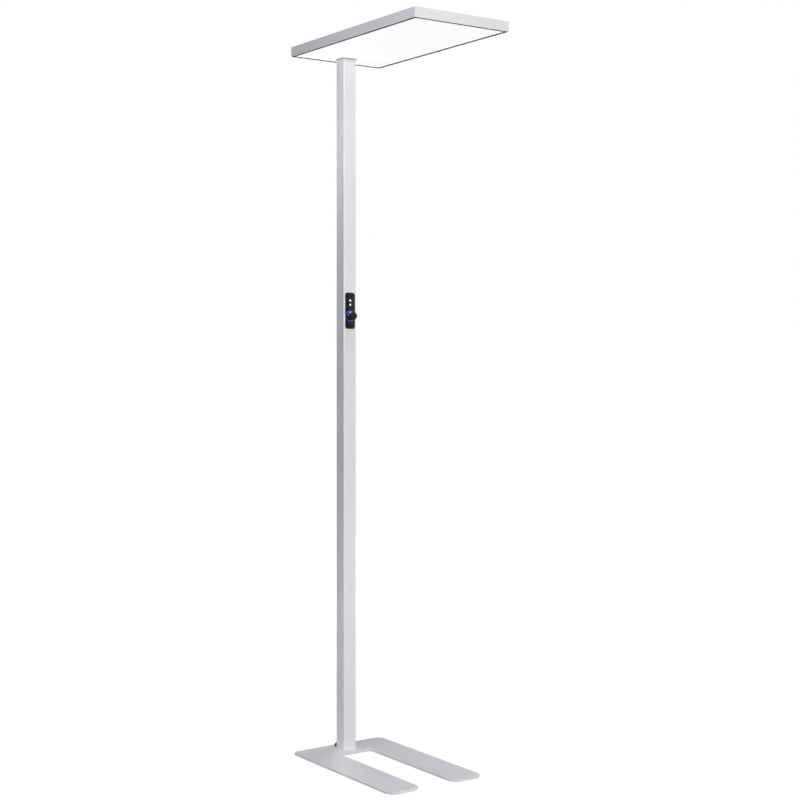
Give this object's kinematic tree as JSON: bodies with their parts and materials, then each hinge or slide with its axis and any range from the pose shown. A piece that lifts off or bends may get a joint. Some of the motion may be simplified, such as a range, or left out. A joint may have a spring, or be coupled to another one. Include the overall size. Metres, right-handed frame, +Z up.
{
  "type": "office floor lamp",
  "caption": "Office floor lamp: flat rectangular light head on a square column with a dimmer knob panel, standing on a U-shaped steel base plate.",
  "frame": {"origin": "on the floor, in the axis of the column: the underside of the pad in the middle of the base", "axes": "+Z up, -Y towards the front, where the legs and the head reach, X across the lamp"},
  "size_m": [0.297, 0.595, 1.965],
  "materials": {
    "silver_steel": "silver-grey powder coat on steel plate",
    "silver_aluminium": "silver-grey powder coat on aluminium",
    "bare_aluminium": "milled or cast, bare",
    "zinc_screw": "zinc-plated",
    "spring_steel": "bright sheet or turned steel",
    "pad_felt": "black foam rubber, self-adhesive",
    "black_plastic": "black, fine texture",
    "black_gloss": "black, smooth",
    "knob_black": "black, satin",
    "white_plastic": "white",
    "black_lead": "black lead sheath",
    "white_lead": "white lead sheath",
    "circuit_board": "green solder mask",
    "led_board": "white solder mask with LEDs",
    "white_sheet": "white reflective paint on aluminium sheet",
    "lens_white": "milky, domed",
    "opal_sheet": "opal acrylic sheet, lit from below",
    "opal_glow": "opal acrylic sheet, lit from inside",
    "ring_glow": "blue lit light guide"
  },
  "bodies": {
    "lamp": {"base_plate": "silver_steel", "floor_pads": "pad_felt", "screw_cover_pad": "pad_felt", "base_screws": "zinc_screw", "foot_block": "bare_aluminium", "column_screws": "zinc_screw", "cable_outlet": "black_plastic", "outlet_screws": "zinc_screw", "column": "silver_aluminium", "terminal_block": "white_plastic", "terminal_lead": "black_lead", "led_driver": "white_plastic", "driver_screws": "zinc_screw", "head_lead": "white_lead", "control_lead": "black_lead", "control_fascia": "black_gloss", "control_housing": "black_plastic", "housing_clips": "spring_steel", "control_board": "circuit_board", "board_screws": "zinc_screw", "control_plug": "white_plastic", "encoder_body": "spring_steel", "encoder_nut": "spring_steel", "switch_dome": "spring_steel", "light_ring": "ring_glow", "ring_leds": "led_board", "motion_sensor": "spring_steel", "motion_lens": "lens_white", "daylight_sensor": "black_plastic", "daylight_lens": "lens_white", "front_rail": "silver_aluminium", "rear_rail": "silver_aluminium", "left_rail": "silver_aluminium", "right_rail": "silver_aluminium", "corner_keys": "bare_aluminium", "key_screws": "zinc_screw", "head_bracket": "spring_steel", "bracket_screws": "zinc_screw", "head_block": "bare_aluminium", "block_screws": "zinc_screw", "neck_screws": "zinc_screw", "led_tray": "white_sheet", "tray_screws": "zinc_screw", "down_led_boards": "led_board", "up_led_boards": "led_board", "led_plug": "white_plastic", "down_diffuser": "opal_glow", "diffuser_collar": "silver_aluminium", "top_panel": "silver_aluminium", "panel_screws": "zinc_screw", "up_diffuser": "opal_sheet"},
    "switch": {"switch_plunger": "white_plastic"},
    "knob": {"dimmer_knob": "knob_black", "encoder_shaft": "spring_steel"}
  },
  "joints": [
    {"name": "knob_press", "type": "slide", "parent": "lamp", "child": "switch", "axis": [0, 1, 0], "range_m": [0, 0.0015], "stiffness_N_per_m": 2000, "springref_m": -0.001},
    {"name": "knob_turn", "type": "hinge", "parent": "switch", "child": "knob", "pos_m": [0, -0.03, 1.218], "axis": [0, -1, 0], "continuous": true}
  ]
}
